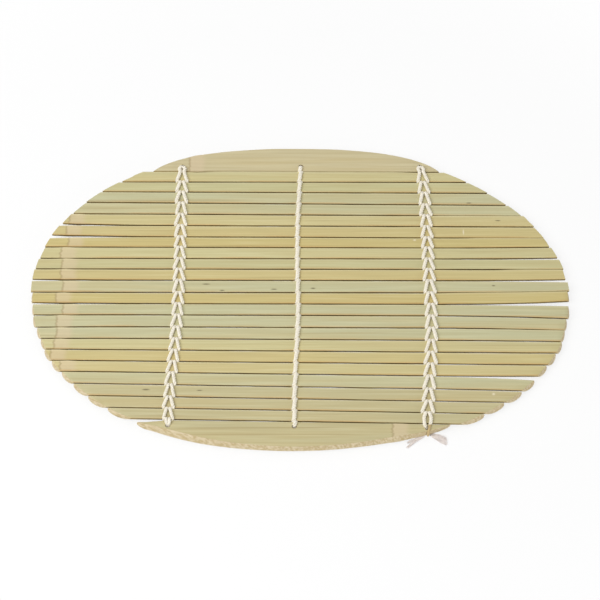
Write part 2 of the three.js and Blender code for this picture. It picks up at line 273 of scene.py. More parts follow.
# At the right the last loop's left side goes on over the board and down into the front hole, and its right
# side goes down in front of the last slat
LEGS_TO_HOLE = [
    [(-1.42, HALF_PITCH, ON_TOP), (-1.4, 1.2, ON_TOP + 0.03), (-1.28, -0.3, ON_TOP + 0.08),
     (-1.25, HOLE_FRONT + 1.3, ON_TOP), (-0.95, HOLE_FRONT + 0.8, 4.3), (-0.5, HOLE_FRONT + 0.4, 3.3),
     (-0.28, HOLE_FRONT, OUT_OF_SIGHT)],
    [(1.42, HALF_PITCH, ON_TOP), (1.44, 1.5, ON_TOP + 0.03), (1.34, 0.6, ON_TOP), (1.2, 0.1, 4.2),
     (1.0, 0.0, 3.2), (0.8, 0.0, OUT_OF_SIGHT)],
]
RUN_BACK = [
    (0.0, HALF_PITCH, UNDER), (0.1, 1.4, UNDER), (0.28, 0.55, 0.85), (0.42, 0.12, 1.9), (0.66, 0.05, 3.4),
]
RUN_FRONT = [(x, -y, z) for x, y, z in RUN_BACK]
RUN_TO_KNOT = [(0.0, HALF_PITCH, UNDER), (0.0, 0.6, UNDER), (0.0, HOLE_FRONT + 1.2, 0.7)]

# Frayed ends of the right string, in millimetres: each one's route, then its seed, how far its fibres spread
# and how far its tip splits in two
LEFT_FRAY = [(55.0, -68.8, 0.95), (52.6, -70.6, 0.8), (49.8, -72.1, 0.65), (46.2, -74.3, 0.5)]
RIGHT_FRAY = [(55.6, -68.8, 0.95), (58.0, -70.3, 0.85), (60.8, -71.6, 0.75), (63.6, -72.8, 0.55)]
FRAYS = [(LEFT_FRAY, 2.0, 0.8, 1.6), (RIGHT_FRAY, 6.0, 1.7, 0.0)]
FRAY_FIBRES = 70
FRAY_FIBRE_RADIUS = 0.12
FRAY_BREADTH = 1.9
FRAY_ROOT_BREADTH = 0.28
FRAY_SHORTEST = 0.82
FRAY_SPLIT_START = 0.6
FRAY_WAVE = 0.12
FRAY_LOWEST = 0.1
# The strand that goes from the right string over the front board to the frayed ends
TIE_ROUTE = [
    (56.2, -66.3, 3.2), (56.2, -66.4, 4.3), (56.0, -66.9, 4.55), (55.8, -68.0, 4.55), (55.6, -69.2, 4.1),
    (55.5, -69.9, 2.8), (55.4, -69.7, 1.3), (55.4, -69.2, 0.9),
]
TIE_RADIUS = 0.6


def linear(red, green, blue):
    """A screen colour from 0 to 255 as the shader's linear colour"""
    def channel(value):
        share = value / 255
        return share / 12.92 if share <= 0.04045 else ((share + 0.055) / 1.055) ** 2.4
    return (channel(red), channel(green), channel(blue), 1.0)


def between(points, place):
    """The value at a place between given points of (place, value)"""
    for (start, low), (end, high) in zip(points, points[1:]):
        if place <= end:
            share = max(0.0, (place - start) / (end - start))
            return low + (high - low) * share
    return points[-1][1]


def lie(x, y):
    """How far the bamboo at a place lies to the back of its even place"""
    shift = between(GAP_SHIFT, (GAP_Y[0] - y) / PITCH) * MM
    skew = between(SLAT_SKEW, y / MM) * x
    fade = max(0.0, 1 - max(0.0, abs(y) - GAP_Y[0]) / BOARD_FADE)
    return fade * (shift - skew)


def settle(piece):
    """Moves a finished mesh from the even places to how the slats really lie"""
    for vertex in piece.data.vertices:
        vertex.co.y += lie(vertex.co.x, vertex.co.y)


def add_camera():
    data = bpy.data.cameras.new("camera")
    data.lens = CAMERA_LENS
    data.sensor_width = CAMERA_SENSOR
    camera = bpy.data.objects.new("camera", data)
    back_up = Vector((0, -math.cos(CAMERA_ELEVATION), math.sin(CAMERA_ELEVATION)))
    camera.location = CAMERA_AIM + CAMERA_DISTANCE * back_up
    camera.rotation_euler = (math.pi / 2 - CAMERA_ELEVATION, 0, 0)
    bpy.context.scene.collection.objects.link(camera)
    bpy.context.scene.camera = camera


add_camera()


# Materials

def node(tree, kind, inputs=None, **settings):
    made = tree.nodes.new(kind)
    for name, value in settings.items():
        setattr(made, name, value)
    for key, value in (inputs or {}).items():
        if isinstance(value, bpy.types.NodeSocket):
            tree.links.new(value, made.inputs[key])
        else:
            made.inputs[key].default_value = value
    return made


def new_material(name, roughness, specular):
    material = bpy.data.materials.new(name)
    material.use_nodes = True
    tree = material.node_tree
    shader = tree.nodes["Principled BSDF"]
    shader.inputs["Roughness"].default_value = roughness
    shader.inputs["Specular IOR Level"].default_value = specular
    return material, tree, shader


def object_place(tree):
    return node(tree, "ShaderNodeTexCoord").outputs["Object"]


def attribute(tree, name, output):
    return node(tree, "ShaderNodeAttribute", attribute_name=name).outputs[output]


def streaks(tree, place, scale, detail=3.0, roughness=0.55):
    """Noise stretched by its scale along X, Y and Z, in features per metre"""
    mapped = node(tree, "ShaderNodeMapping", {"Vector": place, "Scale": scale})
    return node(tree, "ShaderNodeTexNoise", {
        "Vector": mapped.outputs["Vector"], "Scale": 1.0, "Detail": detail, "Roughness": roughness,
    }).outputs["Fac"]


def ramp(tree, value, low, high, to_low=0.0, to_high=1.0):
    return node(tree, "ShaderNodeMapRange", {
        "Value": value, "From Min": low, "From Max": high, "To Min": to_low, "To Max": to_high,
    }, interpolation_type="SMOOTHSTEP").outputs["Result"]


def times(tree, first, second):
    return node(tree, "ShaderNodeMath", {0: first, 1: second}, operation="MULTIPLY").outputs["Value"]


def mixed(tree, share, first, second, blend="MIX"):
    made = node(tree, "ShaderNodeMix", {0: share, 6: first, 7: second}, data_type="RGBA", blend_type=blend)
    return made.outputs[2]


def bumped(tree, shader, height, strength, distance):
    made = node(tree, "ShaderNodeBump", {"Height": height, "Strength": strength, "Distance": distance})
    tree.links.new(made.outputs["Normal"], shader.inputs["Normal"])


# Tints of the bamboo's surfaces, as screen colours
DRIFT = (206, 184, 126)
DARK_FIBRE = (168, 150, 98)
PALE_FIBRE = (232, 224, 184)
LONG_LINE = (158, 134, 84)
NODE_BAND = (219, 198, 164)
NODE_EDGE = (150, 126, 84)
FRONT_STRIPE = (203, 160, 98)
# Painted highlight: a paler tint along each slat's back edge, where the rounded edge catches the light
BACK_EDGE_HIGHLIGHT = (228, 219, 176)
# The split sides' own tan, darkened with painted shade for the shade they lie in down the narrow gaps
SPLIT_DARK_AND_GAP_SHADE = (122, 100, 52)
SPLIT_PALE_AND_GAP_SHADE = (178, 152, 96)
CUT_DARK = (197, 177, 133)
CUT_PALE = (222, 207, 174)
CUT_DOT = (150, 118, 68)
SKIN_FIBRE = (186, 178, 116)
SKIN_RING = (168, 140, 92)

# Marks on the slats' tops, in millimetres: X, Y, length, width and tint
DARK_MARK = (96, 84, 56)
PALE_MARK = (236, 226, 196)
MARKS = [
    (-41.6, 4.2, 2.6, 0.5, DARK_MARK), (-34.4, 0.9, 1.6, 0.5, DARK_MARK),
    (-11.2, 1.5, 2.0, 0.5, DARK_MARK), (6.3, 2.0, 1.6, 0.6, DARK_MARK),
    (87.2, 3.4, 1.1, 0.5, DARK_MARK), (-66.4, -49.3, 2.4, 0.6, DARK_MARK),
    (-43.1, -49.7, 1.8, 0.4, DARK_MARK), (78.2, 47.9, 1.8, 0.5, DARK_MARK),
    (91.0, 38.2, 1.8, 0.5, DARK_MARK), (84.3, -51.5, 1.0, 0.9, PALE_MARK),
    (75.0, 32.0, 0.5, 2.2, PALE_MARK), (52.6, 27.6, 1.0, 0.7, PALE_MARK),
]


def planed_bamboo():
    material, tree, shader = new_material("planed_bamboo", 0.5, 0.35)
    place = object_place(tree)
    colour = attribute(tree, "tone", "Color")
    drift = ramp(tree, streaks(tree, place, (9, 150, 9)), 0.38, 0.68)
    colour = mixed(tree, times(tree, drift, 0.32), colour, linear(*DRIFT))
    fibre = streaks(tree, place, (26, 1100, 60))
    colour = mixed(tree, ramp(tree, fibre, 0.3, 0.62, 0.2, 0.0), colour, linear(*DARK_FIBRE))
    colour = mixed(tree, ramp(tree, fibre, 0.52, 0.75, 0.0, 0.2), colour, linear(*PALE_FIBRE))
    long_lines = streaks(tree, place, (7, 640, 40), 2.0)
    colour = mixed(tree, ramp(tree, long_lines, 0.63, 0.72, 0.0, 0.34), colour, linear(*LONG_LINE))
    from_node = attribute(tree, "from_node", "Fac")
    ragged = times(tree, streaks(tree, place, (60, 700, 60)), 2.4 * MM)
    ragged_node = node(tree, "ShaderNodeMath", {0: from_node, 1: ragged}, operation="ADD").outputs["Value"]
    rise = ramp(tree, ragged_node, 0.8 * MM, 1.6 * MM)
    fall = ramp(tree, ragged_node, 6.2 * MM, 9.5 * MM, 1.0, 0.0)
    band = times(tree, rise, fall)
    colour = mixed(tree, times(tree, band, 0.5), colour, linear(*NODE_BAND))
    line_starts = ramp(tree, ragged_node, 0.4 * MM, 1.1 * MM)
    line_ends = ramp(tree, ragged_node, 1.3 * MM, 2.0 * MM, 1.0, 0.0)
    line = times(tree, line_starts, line_ends)
    colour = mixed(tree, times(tree, line, 0.42), colour, linear(*NODE_EDGE))
    across = attribute(tree, "across", "Fac")
    patchy = ramp(tree, streaks(tree, place, (24, 60, 24)), 0.36, 0.6)
    front_stripe = times(tree, ramp(tree, across, -2.5 * MM, -1.75 * MM, 1.0, 0.0), patchy)
    colour = mixed(tree, times(tree, front_stripe, 0.5), colour, linear(*FRONT_STRIPE))
    # Painted highlight: the top is paled along each slat's back edge, where the rounded edge catches the
    # light
    painted_back_highlight = ramp(tree, across, 1.5 * MM, 2.4 * MM)
    colour = mixed(tree, times(tree, painted_back_highlight, 0.35), colour, linear(*BACK_EDGE_HIGHLIGHT))
    for x, y, length, width, tint in MARKS:
        mark = node(tree, "ShaderNodeMapping", {
            "Vector": place, "Location": (-x * MM / (length * MM), -y * MM / (width * MM), 0),
            "Scale": (1 / (length * MM), 1 / (width * MM), 0),
        })
        far = node(tree, "ShaderNodeVectorMath", {0: mark.outputs["Vector"]}, operation="LENGTH")
        colour = mixed(tree, ramp(tree, far.outputs["Value"], 0.2, 1.0, 0.75, 0.0), colour, linear(*tint))
    tree.links.new(colour, shader.inputs["Base Color"])
    bumped(tree, shader, fibre, 0.35, 0.05 * MM)
    return material


def split_bamboo():
    """The long sides, where the strips were split apart: their own tan, darkened with painted shade for the
    shade down in the narrow gaps between the pieces
    """
    material, tree, shader = new_material("split_bamboo", 0.65, 0.25)
    place = object_place(tree)
    fibre = streaks(tree, place, (22, 1200, 1200))
    colour = mixed(tree, ramp(tree, fibre, 0.3, 0.7), linear(*SPLIT_DARK_AND_GAP_SHADE), linear(*SPLIT_PALE_AND_GAP_SHADE))
    tree.links.new(colour, shader.inputs["Base Color"])
    bumped(tree, shader, fibre, 0.5, 0.08 * MM)
    return material


def cut_bamboo():
    """The sawn ends and rims, with the ends of the fibres as fine dots and short slanting streaks"""
    material, tree, shader = new_material("cut_bamboo", 0.75, 0.2)
    place = object_place(tree)
    slanting = node(tree, "ShaderNodeMapping", {"Vector": place, "Rotation": (0, 0, math.radians(28))})
    saw = streaks(tree, slanting.outputs["Vector"], (420, 1500, 700))
    colour = mixed(tree, ramp(tree, saw, 0.32, 0.68), linear(*CUT_DARK), linear(*CUT_PALE))
    dots = node(tree, "ShaderNodeTexVoronoi", {"Vector": place, "Scale": 1900.0})
    dotted = ramp(tree, dots.outputs["Distance"], 0.12, 0.34, 0.3, 0.0)
    colour = mixed(tree, dotted, colour, linear(*CUT_DOT))
    tree.links.new(colour, shader.inputs["Base Color"])
    bumped(tree, shader, saw, 0.5, 0.08 * MM)
    return material


def bamboo_skin():
    """The rounded underside, which is the stalk's own smooth skin"""
    material, tree, shader = new_material("bamboo_skin", 0.38, 0.45)
    place = object_place(tree)
    colour = attribute(tree, "tone", "Color")
    fibre = streaks(tree, place, (18, 900, 300))
    colour = mixed(tree, ramp(tree, fibre, 0.35, 0.7, 0.0, 0.35), colour, linear(*SKIN_FIBRE))
    from_node = attribute(tree, "from_node", "Fac")
    ring_starts = ramp(tree, from_node, 0.5 * MM, 1.4 * MM)
    ring_ends = ramp(tree, from_node, 2 * MM, 5 * MM, 1.0, 0.0)
    ring = times(tree, ring_starts, ring_ends)
    colour = mixed(tree, times(tree, ring, 0.6), colour, linear(*SKIN_RING))
    tree.links.new(colour, shader.inputs["Base Color"])
    bumped(tree, shader, fibre, 0.2, 0.04 * MM)
    return material


def cotton(name, light, dark):
    material, tree, shader = new_material(name, 0.9, 0.15)
    shader.inputs["Sheen Weight"].default_value = 0.25
    place = object_place(tree)
    fuzz = streaks(tree, place, (2600, 2600, 2600), 2.0)
    colour = mixed(tree, ramp(tree, fuzz, 0.3, 0.7), linear(*dark), linear(*light))
    tree.links.new(colour, shader.inputs["Base Color"])
    bumped(tree, shader, fuzz, 0.5, 0.12 * MM)
    return material


BAMBOO_FACES = [planed_bamboo(), split_bamboo(), bamboo_skin(), cut_bamboo()]
PLANED, SPLIT, SKIN, CUT = range(4)
STRING_COTTON = cotton("string_cotton", (255, 251, 238), (244, 235, 216))
FRAYED_COTTON = cotton("frayed_cotton", (247, 239, 234), (230, 220, 214))
TIE_COTTON = cotton("tie_cotton", (208, 186, 138), (186, 160, 110))


# Modelling by hand

def take(piece):
    bpy.ops.object.select_all(action="DESELECT")
    piece.select_set(True)
    bpy.context.view_layer.objects.active = piece


def start_block(name, low, high):
    bpy.ops.object.select_all(action="DESELECT")
    bpy.ops.mesh.primitive_cube_add(size=1, location=(low + high) / 2, scale=high - low)
    bpy.ops.object.transform_apply(location=True, rotation=True, scale=True)
    piece = bpy.context.active_object
    piece.name = name
    piece.data.name = name
    return piece


def along_x(edge):
    line = edge.verts[1].co - edge.verts[0].co
    return abs(line.x) > 0.99 * line.length


def pick_edges(piece, wanted):
    bpy.ops.mesh.select_mode(type="EDGE")
    bpy.ops.mesh.select_all(action="DESELECT")
    shape = bmesh.from_edit_mesh(piece.data)
    for edge in shape.edges:
        if wanted(edge):
            edge.select_set(True)
    shape.select_flush_mode()
    bmesh.update_edit_mesh(piece.data)


def apply_modifier(piece, kind, **settings):
    modifier = piece.modifiers.new("shape", kind)
    for name, value in settings.items():
        setattr(modifier, name, value)
    take(piece)
    bpy.ops.object.modifier_apply(modifier=modifier.name)


def push(piece, direction, distance, share_at, texture=None, mid_level=0.0):
    """Moves the mesh along a direction, by a share of the distance at each point"""
    group = piece.vertex_groups.new(name="push")
    for vertex in piece.data.vertices:
        group.add([vertex.index], share_at(vertex), "REPLACE")
    apply_modifier(piece, "DISPLACE", direction=direction, strength=distance, mid_level=mid_level,
                   vertex_group=group.name, texture=texture, texture_coords="LOCAL")
    piece.vertex_groups.remove(piece.vertex_groups["push"])


def uneven_texture():
    texture = bpy.data.textures.new("uneven", "CLOUDS")
    texture.noise_scale = UNEVEN_SPACING
    return texture


UNEVEN = uneven_texture()


def note(piece, name, kind, values):
    layer = piece.data.attributes.new(name, kind, "POINT")
    layer.data.foreach_set("color" if kind == "FLOAT_COLOR" else "value", values)


def note_bamboo(piece, number, centre):
    """What the bamboo's materials read: the piece's tone, the way from its node and the way across it"""
    vertices = piece.data.vertices
    note(piece, "tone", "FLOAT_COLOR", list(linear(*TONES[PIECE_TONES[number]])) * len(vertices))
    line = NODE_LINE.get(number)
    note(piece, "from_node", "FLOAT", [NO_NODE if line is None else v.co.x - line * MM for v in vertices])
    note(piece, "across", "FLOAT", [0.0 if centre is None else v.co.y - centre for v in vertices])


def swell_node(piece, number):
    line = NODE_LINE.get(number)
    if line is None:
        return
    middle = line * MM + NODE_SWELL_PLACE

    def share_at(vertex):
        flat_top = NODE_SWELL_ON_TOP if vertex.normal.z > 0.9 else 1.0
        return flat_top * math.exp(-((vertex.co.x - middle) / NODE_SWELL_REACH) ** 2)
    push(piece, "NORMAL", NODE_SWELL, share_at)


def finish_bamboo(piece, number, kind_of_face):
    for material in BAMBOO_FACES:
        piece.data.materials.append(material)
    for face in piece.data.polygons:
        face.material_index = kind_of_face(face)
    take(piece)
    bpy.ops.object.shade_smooth_by_angle(angle=SMOOTH_ANGLE)
    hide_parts(PIECES[number])
    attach(piece, PIECES[number])


# Slats

def oval_x(y, side):
    half_length, to_back, to_front = LEFT_CURVE if side < 0 else RIGHT_CURVE
    reach = BACK_REACH if y > 0 else FRONT_REACH
    fullness = to_back if y > 0 else to_front
    across = max(0.0, 1 - abs(y / reach) ** fullness)
    return OUTLINE_LEAN * y + side * half_length * across ** (1 / fullness)


def end_shortfall(number, side):
    if number in FULL_LENGTH_SLATS:
        return 0.0
    return END_UNEVENNESS * math.sin(END_CUT_PER_SLAT * number + END_CUT_PER_SIDE * side) ** 2


def wander_of(number, edge, side):
    end = "left" if side < 0 else "right"
    return EDGE_WANDER.get(number, {}).get("%s_%s" % (edge, end), 0.0) * MM


def slat_end(number, side, front, back, across):
    """A point of a slat's end, from its front (0) to its back (1), before the slat's edges wander"""
    drift = wander_of(number, "front", side) * (1 - across) + wander_of(number, "back", side) * across
    y = front + (back - front) * across
    drift += lie(oval_x(y, side), y)
    return Vector((oval_x(y + drift, side) - side * end_shortfall(number, side), y, BOTTOM))


def cut_slat_end(number, side, front, back):
    """Cuts the end to the oval's curve by a few flat cuts"""
    points = [slat_end(number, side, front, back, step / END_CHORDS) for step in range(END_CHORDS + 1)]
    for near, far in zip(points, points[1:]):
        along = far - near
        outward = (Vector((along.y, -along.x, 0)) * side).normalized()
        slope = END_SLOPE if number > SLAT_COUNT // 2 else 0.0
        sloping = (outward + Vector((0, 0, slope))).normalized()
        bpy.ops.mesh.select_all(action="SELECT")
        bpy.ops.mesh.bisect(
            plane_co=near, plane_no=sloping, use_fill=True, clear_outer=True, threshold=CUT_THRESHOLD)


def wander_edges(slat, number, front, back):
    for side in (-1, 1):
        near = slat_end(number, side, front, back, 0)
        far = slat_end(number, side, front, back, 1)
        for edge in ("front", "back"):
            distance = wander_of(number, edge, side)
            if not distance:
                continue

            def share_at(vertex):
                across = min(max((vertex.co.y - front) / (back - front), 0.0), 1.0)
                end = near.x + (far.x - near.x) * across
                share = (side * vertex.co.x - WANDER_START) / (side * end - WANDER_START)
                return min(max(share, 0.0), 1.0) ** 2 * (across if edge == "back" else 1 - across)
            push(slat, "Y", distance, share_at)


def is_end(normal):
    return abs(normal.x) > 0.2 and abs(normal.z) < 0.6


def slat_face(face):
    if is_end(face.normal):
        return CUT
    if face.normal.z > 0.5:
        return PLANED
    return SKIN if face.normal.z < -0.3 else SPLIT


def closed_share(gap, x):
    """How far a gap is closed at a place: the first all along but for two stretches, a few at the right"""
    if gap in CLOSED_TO_RIGHT:
        return min(max((x - CLOSED_TO_RIGHT[gap]) / CLOSING_REACH, 0.0), 1.0)
    left_open = math.exp(-((x - OPEN_LEFT) / OPEN_REACH) ** 2)
    right_open = min(max((x - OPEN_RIGHT) / (2 * OPEN_REACH), 0.0), 1.0)
    return max(0.0, 1 - left_open - right_open)


def model_slat(number):
    front = GAP_Y[number] + GAP / 2
    back = GAP_Y[number - 1] - GAP / 2
    low = Vector((-REACH, front, BOTTOM))
    high = Vector((REACH, back, TOP))
    slat = start_block(PIECES[number] + "_bamboo", low, high)
    middle = (BOTTOM + TOP) / 2
    bpy.ops.object.mode_set(mode="EDIT")
    pick_edges(slat, lambda edge: along_x(edge) and edge.verts[0].co.z < middle)
    bpy.ops.mesh.bevel(offset=UNDERSIDE_RADIUS, segments=UNDERSIDE_STEPS, affect="EDGES")
    pick_edges(slat, lambda edge: along_x(edge) and edge.verts[0].co.z > TOP - EDGE_TOLERANCE)
    bpy.ops.mesh.bevel(offset=TOP_EDGE_RADIUS, segments=TOP_EDGE_STEPS, affect="EDGES")
    pick_edges(slat, along_x)
    bpy.ops.mesh.subdivide(number_cuts=SLAT_CUTS)
    for side in (-1, 1):
        cut_slat_end(number, side, front, back)
    bpy.ops.mesh.select_all(action="SELECT")
    bpy.ops.mesh.remove_doubles(threshold=MERGE_DISTANCE)
    pick_edges(slat, lambda edge: sum(is_end(face.normal) for face in edge.link_faces) == 1)
    bpy.ops.mesh.bevel(offset=END_EDGE_RADIUS, segments=1, affect="EDGES")
    bpy.ops.mesh.select_all(action="SELECT")
    bpy.ops.mesh.normals_make_consistent(inside=False)
    bpy.ops.object.mode_set(mode="OBJECT")
    note_bamboo(slat, number, (front + back) / 2)
    push(slat, "NORMAL", UNEVENNESS, lambda vertex: 1.0, UNEVEN, 0.5)
    swell_node(slat, number)
    wander_edges(slat, number, front, back)
    if number == 1 or number - 1 in CLOSED_TO_RIGHT:
        def share_at(vertex):
            return closed_share(number - 1, vertex.co.x) if vertex.co.y > front + BACK_PART_START else 0.0
        push(slat, "Y", CLOSED_GAP, share_at)
    settle(slat)
    finish_bamboo(slat, number, slat_face)


# End boards

def oval_cutter(oval, side, slopes):
    """A solid oval with the rim's slope, to cut a board by"""
    reach, depth, half_length, centre, fullness = oval
    middle = (BOTTOM + TOP) / 2
    bpy.ops.object.select_all(action="DESELECT")
    bpy.ops.mesh.primitive_cylinder_add(
        vertices=RIM_SIDES, radius=1, depth=1, location=(0, 0, middle),
        scale=(1, 1, TOP - BOTTOM + CUTTER_SPARE))
    bpy.ops.object.transform_apply(location=True, rotation=True, scale=True)
    cutter = bpy.context.active_object
    for vertex in cutter.data.vertices:
        x, y, z = vertex.co
        full = (abs(x) ** fullness + abs(y) ** fullness) ** (1 / fullness)
        inward = 0.0
        if z > middle:
            inward = between(slopes, x / full * half_length / MM) * MM
        vertex.co.x = centre + x / full * (half_length - inward)
        vertex.co.y = side * (reach - depth) + y / full * (depth - inward)
    return cutter


def boolean(piece, cutter, operation):
    apply_modifier(piece, "BOOLEAN", object=cutter, operation=operation, solver="EXACT")
    bpy.data.objects.remove(cutter)


def hole_cutter(place):
    bpy.ops.object.select_all(action="DESELECT")
    bpy.ops.mesh.primitive_cylinder_add(
        vertices=HOLE_SIDES, radius=HOLE_RADIUS, depth=HOLE_DEPTH,
        location=(place.x, place.y, (BOTTOM + TOP) / 2))
    bpy.ops.object.transform_apply(location=True, rotation=True, scale=True)
    return bpy.context.active_object


def model_board(number, end, side, oval, slopes):
    inner = side * (GAP_Y[0] + GAP / 2)
    outer = side * (oval[0] + BOARD_SPARE)
    low = Vector((-REACH, min(inner, outer), BOTTOM))
    high = Vector((REACH, max(inner, outer), TOP))
    board = start_block(PIECES[number] + "_bamboo", low, high)
    bpy.ops.object.mode_set(mode="EDIT")
    edges = ((BOTTOM, UNDERSIDE_RADIUS, UNDERSIDE_STEPS), (TOP, TOP_EDGE_RADIUS, TOP_EDGE_STEPS))
    for height, radius, steps in edges:
        pick_edges(board, lambda edge: along_x(edge) and abs(edge.verts[0].co.y - inner) < EDGE_TOLERANCE
                   and abs(edge.verts[0].co.z - height) < EDGE_TOLERANCE)
        bpy.ops.mesh.bevel(offset=radius, segments=steps, affect="EDGES")
    pick_edges(board, along_x)
    bpy.ops.mesh.subdivide(number_cuts=BOARD_CUTS_ALONG)
    bpy.ops.object.mode_set(mode="OBJECT")
    boolean(board, oval_cutter(oval, side, slopes), "INTERSECT")
    for row in ROWS:
        boolean(board, hole_cutter(knot_place(row, end)), "DIFFERENCE")
    note_bamboo(board, number, None)
    push(board, "NORMAL", UNEVENNESS, lambda vertex: 1.0, UNEVEN, 0.5)
    swell_node(board, number)
    if side < 0:
        def stand_off(vertex):
            share = min(max((vertex.co.x - TIP_START) / (TIP_END - TIP_START), 0.0), 1.0)
            near = max(0.0, 1 - (inner - vertex.co.y) / TIP_DEPTH)
            return min(share * share * near, 1.0)
        push(board, "Y", -TIP_STAND_OFF, stand_off)
    settle(board)

    def board_face(face):
        if face.normal.z > 0.7:
            return PLANED
        if face.normal.z < -0.3:
            return SKIN
        return SPLIT if face.normal.y * side < -0.5 else CUT
    finish_bamboo(board, number, board_face)


# Strings

def rope_line(points):
    """A smooth line through the points, as closely spaced places"""
    knots = [Vector(point) for point in points]
    guide = [2 * knots[0] - knots[1]] + knots + [2 * knots[-1] - knots[-2]]
    line = []
    for a, b, c, d in zip(guide, guide[1:], guide[2:], guide[3:]):
        count = max(2, math.ceil((c - b).length / ROPE_STEP))
        for step in range(count):
            t = step / count
            line.append(0.5 * (2 * b + (c - a) * t + (2 * a - 5 * b + 4 * c - d) * t ** 2
                               + (3 * b - a - 3 * c + d) * t ** 3))
    line.append(knots[-1])
    return line


def ply_lines(line, meets_at_end):
    """The plies' lines round the rope's own; where another rope goes on, the plies meet its plies"""
    count = len(line)
    tangents = [(line[min(i + 1, count - 1)] - line[max(i - 1, 0)]).normalized() for i in range(count)]
    normals = []
    normal = Vector((1, 0, 0))
    for tangent in tangents:
        normal = (normal - tangent * normal.dot(tangent)).normalized()
        normals.append(normal)
    ways = [0.0]
    for first, second in zip(line, line[1:]):
        ways.append(ways[-1] + (second - first).length)
    turn = 2 * math.pi * ways[-1] / LAY
    if meets_at_end:
        side = tangents[-1].cross(normals[-1])
        offset = math.atan2(side.x, normals[-1].x)
        share = 2 * math.pi / PLIES
        turn = offset + share * round((turn - offset) / share)
    lines = []
    for ply in range(PLIES):
        places = []
        for place, tangent, normal, way in zip(line, tangents, normals, ways):
            angle = turn * way / ways[-1] + 2 * math.pi * ply / PLIES
            out = normal * math.cos(angle) + tangent.cross(normal) * math.sin(angle)
            places.append(place + out * (ROPE_RADIUS - PLY_RADIUS))
        lines.append(places)
    return lines


def tubes(name, lines, radius, sides):
    """One mesh of closed tubes along lines that are given in millimetres"""
    curve = bpy.data.curves.new(name, "CURVE")
    curve.dimensions = "3D"
    curve.bevel_depth = radius * MM
    curve.bevel_resolution = sides
    curve.use_fill_caps = True
    for line in lines:
        spline = curve.splines.new("POLY")
        spline.points.add(len(line) - 1)
        for point, place in zip(spline.points, line):
            point.co = (*(place * MM), 1.0)
    piece = bpy.data.objects.new(name, curve)
    bpy.context.scene.collection.objects.link(piece)
    take(piece)
    bpy.ops.object.convert(target="MESH")
    bpy.ops.object.shade_smooth()
    return piece


def to_left(points):
    return [(-x, y, z) for x, y, z in points]


def stitch_ropes(row, back_end, front_end):
    """The lines of string at one gap: the loop that ends there and both sides of the next loop"""
    on_top = CHAIN_ON_TOP[row]
    if on_top and back_end:
        return [to_left(LEG_FROM_HOLE), LEG_FROM_HOLE, RUN_FROM_KNOT]
    if on_top and front_end and row == "right":
        return LEGS_TO_HOLE + [RUN_TO_KNOT]
    head = LOOP_HEAD_TO_HOLE if on_top and front_end else LOOP_HEAD
    ropes = [
        to_left(LOOP_FOOT) + LOOP_FOOT[-2::-1],
        to_left(RUN_BACK) + to_left(head),
        RUN_FRONT + head,
    ]
    if on_top:
        return ropes
    ropes = [[(x, y, ON_TOP + UNDER - z) for x, y, z in rope] for rope in ropes]
    if back_end:
        hole = HOLE_BACK - CENTRE_OFF_HOLE
        start = [(0, hole, OUT_OF_SIGHT), (0, hole, HOLE_MOUTH), (-0.03, hole - 0.5, ON_TOP)]
        ropes[1][:2] = start + ropes[1][1:2]
    if front_end:
        hole = HOLE_FRONT + CENTRE_OFF_HOLE
        start = [(0, hole, OUT_OF_SIGHT), (0, hole, HOLE_MOUTH), (0.03, hole + 0.5, ON_TOP)]
        ropes[2][:2] = start + ropes[2][1:2]
    return ropes


def lay_on_row(piece, row, gap):
    """Moves a stitch to its gap, along the row's bow, a little unevenly"""
    seed = ROWS.index(row) * 10.0
    at_back, at_front = ROW_BREADTH[row]
    for vertex in piece.data.vertices:
        vertex.co.y += GAP_Y[gap]
        wave = vertex.co.y * STITCH_WAVE
        sway = STITCH_SWAY * MM * noise.noise((wave, seed, 0))
        way = (vertex.co.y / GAP_Y[0] + 1) / 2
        breadth = at_front + (at_back - at_front) * way
        spread = breadth * (1 + STITCH_SPREAD * noise.noise((wave, seed, 5)))
        vertex.co.x = vertex.co.x * spread + between(ROW_LINES[row], vertex.co.y / MM) * MM + sway
        vertex.co.z = max(vertex.co.z, LOWEST_STRING)
    settle(piece)


def model_string(row):
    patterns = {}
    for gap in range(SLAT_COUNT + 1):
        kind = (gap == 0, gap == SLAT_COUNT)
        if kind not in patterns:
            lines = []
            for rope in stitch_ropes(row, *kind):
                lines += ply_lines(rope_line(rope), True)
            patterns[kind] = tubes("%s_pattern" % row, lines, PLY_RADIUS, 1)
        stitch = patterns[kind].copy()
        stitch.data = patterns[kind].data.copy()
        stitch.name = "%s_stitch_%02d" % (row, gap + 1)
        stitch.data.name = stitch.name
        bpy.context.scene.collection.objects.link(stitch)
        lay_on_row(stitch, row, gap)
        stitch.data.materials.append(STRING_COTTON)
        if gap % PIECES_PER_RUN < PIECES_PER_RUN - 1:
            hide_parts("%s_string_%d" % (row, gap // PIECES_PER_RUN + 1))
        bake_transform(stitch)
    for pattern in patterns.values():
        bpy.data.objects.remove(pattern)


# Knots and frayed ends

KNOT_RING = 0.6
KNOT_LOOP = 0.35
KNOT_LIFT = 0.3
KNOT_LOOPS = 3
KNOT_TURNS = 2
KNOT_STEPS = 72
KNOT_SINK = 0.05 * MM


